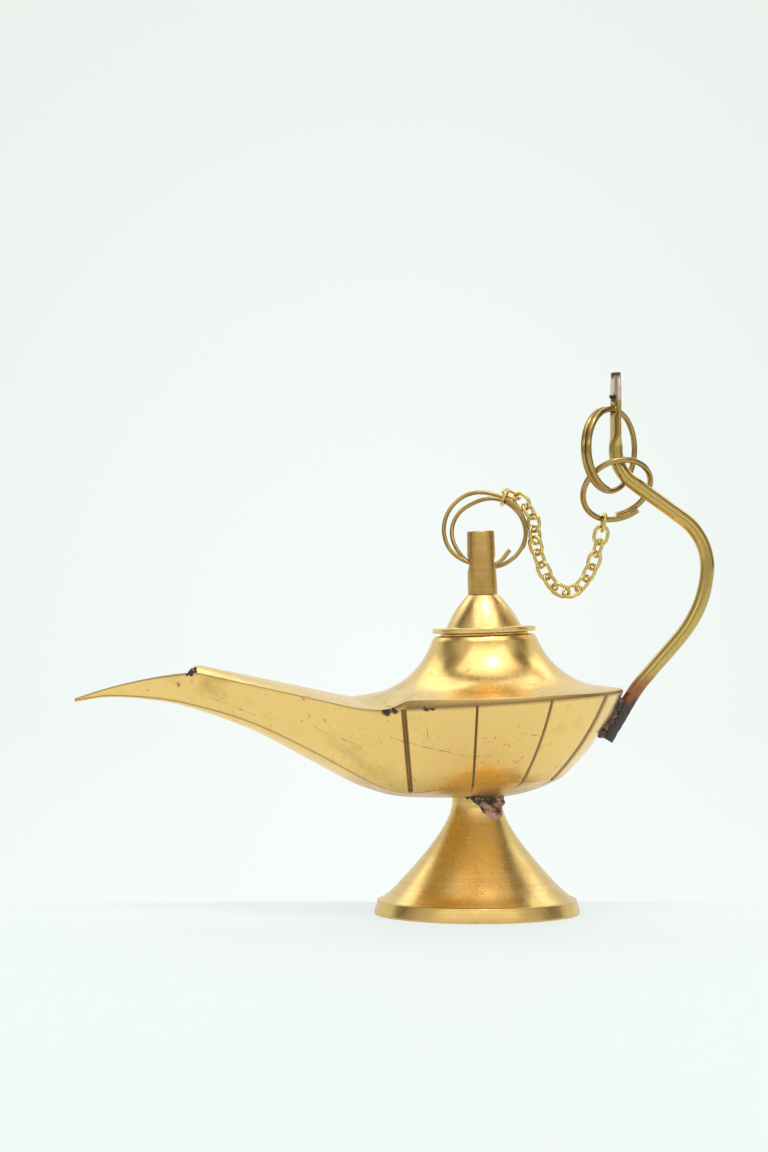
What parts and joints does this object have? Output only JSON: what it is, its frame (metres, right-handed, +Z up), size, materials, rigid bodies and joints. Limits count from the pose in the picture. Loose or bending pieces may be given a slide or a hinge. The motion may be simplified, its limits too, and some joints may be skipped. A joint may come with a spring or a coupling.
{
  "type": "oil lamp",
  "caption": "Small brass genie oil lamp: panelled bowl drawn into a long spout, spun dome, flared foot, rod handle and a chained lid.",
  "frame": {"origin": "on the floor at the foot's axis", "axes": "+Z up, -X along the spout, +X to the handle, -Y towards the viewer of the picture"},
  "size_m": [0.1503, 0.064, 0.127],
  "materials": {
    "foot_brass": "turned, dull with age",
    "bowl_brass": "polished, scratched and pitted",
    "cover_brass": "spun and polished",
    "lid_brass": "turned and polished",
    "stem_brass": "turned, tarnished",
    "rod_brass": "drawn rod, tarnished",
    "ring_wire": "drawn wire, tarnished",
    "chain_wire": "bright wire",
    "solder": "rough, heat-stained braze",
    "scale": "rough, oxidised braze"
  },
  "bodies": {
    "base": {"foot": "foot_brass", "foot_solder": "solder", "bowl": "bowl_brass", "top_cover": "cover_brass", "spout_solder": "solder", "handle": "rod_brass", "handle_solder": "scale"},
    "lid": {"lid": "lid_brass", "lid_stem": "stem_brass"},
    "lid_ring": {"lid_ring": "ring_wire", "chain_link_01": "chain_wire", "chain_link_02": "chain_wire", "chain_link_03": "chain_wire", "chain_link_04": "chain_wire", "chain_link_05": "chain_wire", "chain_link_06": "chain_wire"},
    "hanging_ring": {"hanging_ring": "ring_wire"},
    "chain_ring": {"chain_ring": "ring_wire"},
    "chain_link_18": {"chain_link_18": "chain_wire"},
    "chain_link_17": {"chain_link_17": "chain_wire"},
    "chain_link_16": {"chain_link_16": "chain_wire"},
    "chain_link_15": {"chain_link_15": "chain_wire"},
    "chain_link_14": {"chain_link_14": "chain_wire"},
    "chain_link_13": {"chain_link_13": "chain_wire"},
    "chain_link_12": {"chain_link_12": "chain_wire"},
    "chain_link_11": {"chain_link_11": "chain_wire"},
    "chain_link_10": {"chain_link_10": "chain_wire"},
    "chain_link_09": {"chain_link_09": "chain_wire"},
    "chain_link_08": {"chain_link_08": "chain_wire"},
    "chain_link_07": {"chain_link_07": "chain_wire"}
  },
  "joints": [
    {"name": "lid_lift", "type": "slide", "parent": "base", "child": "lid", "axis": [-0.0349, 0, 0.9994], "range_m": [0, 0.007]},
    {"name": "lid_ring_swing", "type": "hinge", "parent": "lid", "child": "lid_ring", "pos_m": [0.00108, 0, 0.08218], "axis": [0.9994, 0, 0.0349], "range_deg": [-3, 3]},
    {"name": "hanging_ring_swing", "type": "hinge", "parent": "base", "child": "hanging_ring", "pos_m": [0.0326, 0, 0.1182], "axis": [0.766, -0.6428, 0], "range_deg": [-12, 8]},
    {"name": "chain_ring_swing", "type": "hinge", "parent": "base", "child": "chain_ring", "pos_m": [0.03449, -0.00352, 0.10639], "axis": [-0.1023, 0.9947, 0], "range_deg": [-1, 3]},
    {"name": "chain_link_18_hinge", "type": "hinge", "parent": "chain_ring", "child": "chain_link_18", "pos_m": [0.03017, 0.0049, 0.09256], "axis": [-0.1023, 0.9947, 0], "range_deg": [-1, 5.17]},
    {"name": "chain_link_17_hinge", "type": "hinge", "parent": "chain_link_18", "child": "chain_link_17", "pos_m": [0.02977, 0.00486, 0.09034], "axis": [-0.1023, 0.9947, 0], "range_deg": [-1, 10.6]},
    {"name": "chain_link_16_hinge", "type": "hinge", "parent": "chain_link_17", "child": "chain_link_16", "pos_m": [0.02913, 0.00479, 0.08731], "axis": [-0.1023, 0.9947, 0], "range_deg": [-1, 3.24]},
    {"name": "chain_link_15_hinge", "type": "hinge", "parent": "chain_link_16", "child": "chain_link_15", "pos_m": [0.02834, 0.00471, 0.08432], "axis": [-0.1023, 0.9947, 0], "range_deg": [-1, 3.24]},
    {"name": "chain_link_14_hinge", "type": "hinge", "parent": "chain_link_15", "child": "chain_link_14", "pos_m": [0.02735, 0.00461, 0.08138], "axis": [-0.1023, 0.9947, 0], "range_deg": [-1, 3.7]},
    {"name": "chain_link_13_hinge", "type": "hinge", "parent": "chain_link_14", "child": "chain_link_13", "pos_m": [0.02601, 0.00447, 0.07859], "axis": [-0.1023, 0.9947, 0], "range_deg": [-1, 4.59]},
    {"name": "chain_link_12_hinge", "type": "hinge", "parent": "chain_link_13", "child": "chain_link_12", "pos_m": [0.02405, 0.00427, 0.07619], "axis": [-0.1023, 0.9947, 0], "range_deg": [-1, 2.79]},
    {"name": "chain_link_11_hinge", "type": "hinge", "parent": "chain_link_12", "child": "chain_link_11", "pos_m": [0.02115, 0.00397, 0.07515], "axis": [-0.1023, 0.9947, 0], "range_deg": [-2.44, 1]},
    {"name": "chain_link_10_hinge", "type": "hinge", "parent": "chain_link_11", "child": "chain_link_10", "pos_m": [0.01839, 0.00369, 0.07654], "axis": [-0.1023, 0.9947, 0], "range_deg": [-2.96, 1]},
    {"name": "chain_link_09_hinge", "type": "hinge", "parent": "chain_link_10", "child": "chain_link_09", "pos_m": [0.01657, 0.0035, 0.07903], "axis": [-0.1023, 0.9947, 0], "range_deg": [-2.86, 1]},
    {"name": "chain_link_08_hinge", "type": "hinge", "parent": "chain_link_09", "child": "chain_link_08", "pos_m": [0.0153, 0.00337, 0.08186], "axis": [-0.1023, 0.9947, 0], "range_deg": [-2.56, 1]},
    {"name": "chain_link_07_hinge", "type": "hinge", "parent": "chain_link_08", "child": "chain_link_07", "pos_m": [0.01435, 0.00327, 0.08481], "axis": [-0.1023, 0.9947, 0], "range_deg": [-2.98, 1]}
  ],
  "couplings": [
    {"joint": "chain_ring_swing", "follows": "lid_lift", "rad_per_m": 4.9867},
    {"joint": "chain_link_18_hinge", "follows": "lid_lift", "rad_per_m": 10.406},
    {"joint": "chain_link_17_hinge", "follows": "lid_lift", "rad_per_m": 23.947},
    {"joint": "chain_link_16_hinge", "follows": "lid_lift", "rad_per_m": 5.576},
    {"joint": "chain_link_15_hinge", "follows": "lid_lift", "rad_per_m": 5.5785},
    {"joint": "chain_link_14_hinge", "follows": "lid_lift", "rad_per_m": 6.7308},
    {"joint": "chain_link_13_hinge", "follows": "lid_lift", "rad_per_m": 8.9548},
    {"joint": "chain_link_12_hinge", "follows": "lid_lift", "rad_per_m": 4.466},
    {"joint": "chain_link_11_hinge", "follows": "lid_lift", "rad_per_m": -3.5886},
    {"joint": "chain_link_10_hinge", "follows": "lid_lift", "rad_per_m": -4.8969},
    {"joint": "chain_link_09_hinge", "follows": "lid_lift", "rad_per_m": -4.632},
    {"joint": "chain_link_08_hinge", "follows": "lid_lift", "rad_per_m": -3.8945},
    {"joint": "chain_link_07_hinge", "follows": "lid_lift", "rad_per_m": -4.9443}
  ]
}
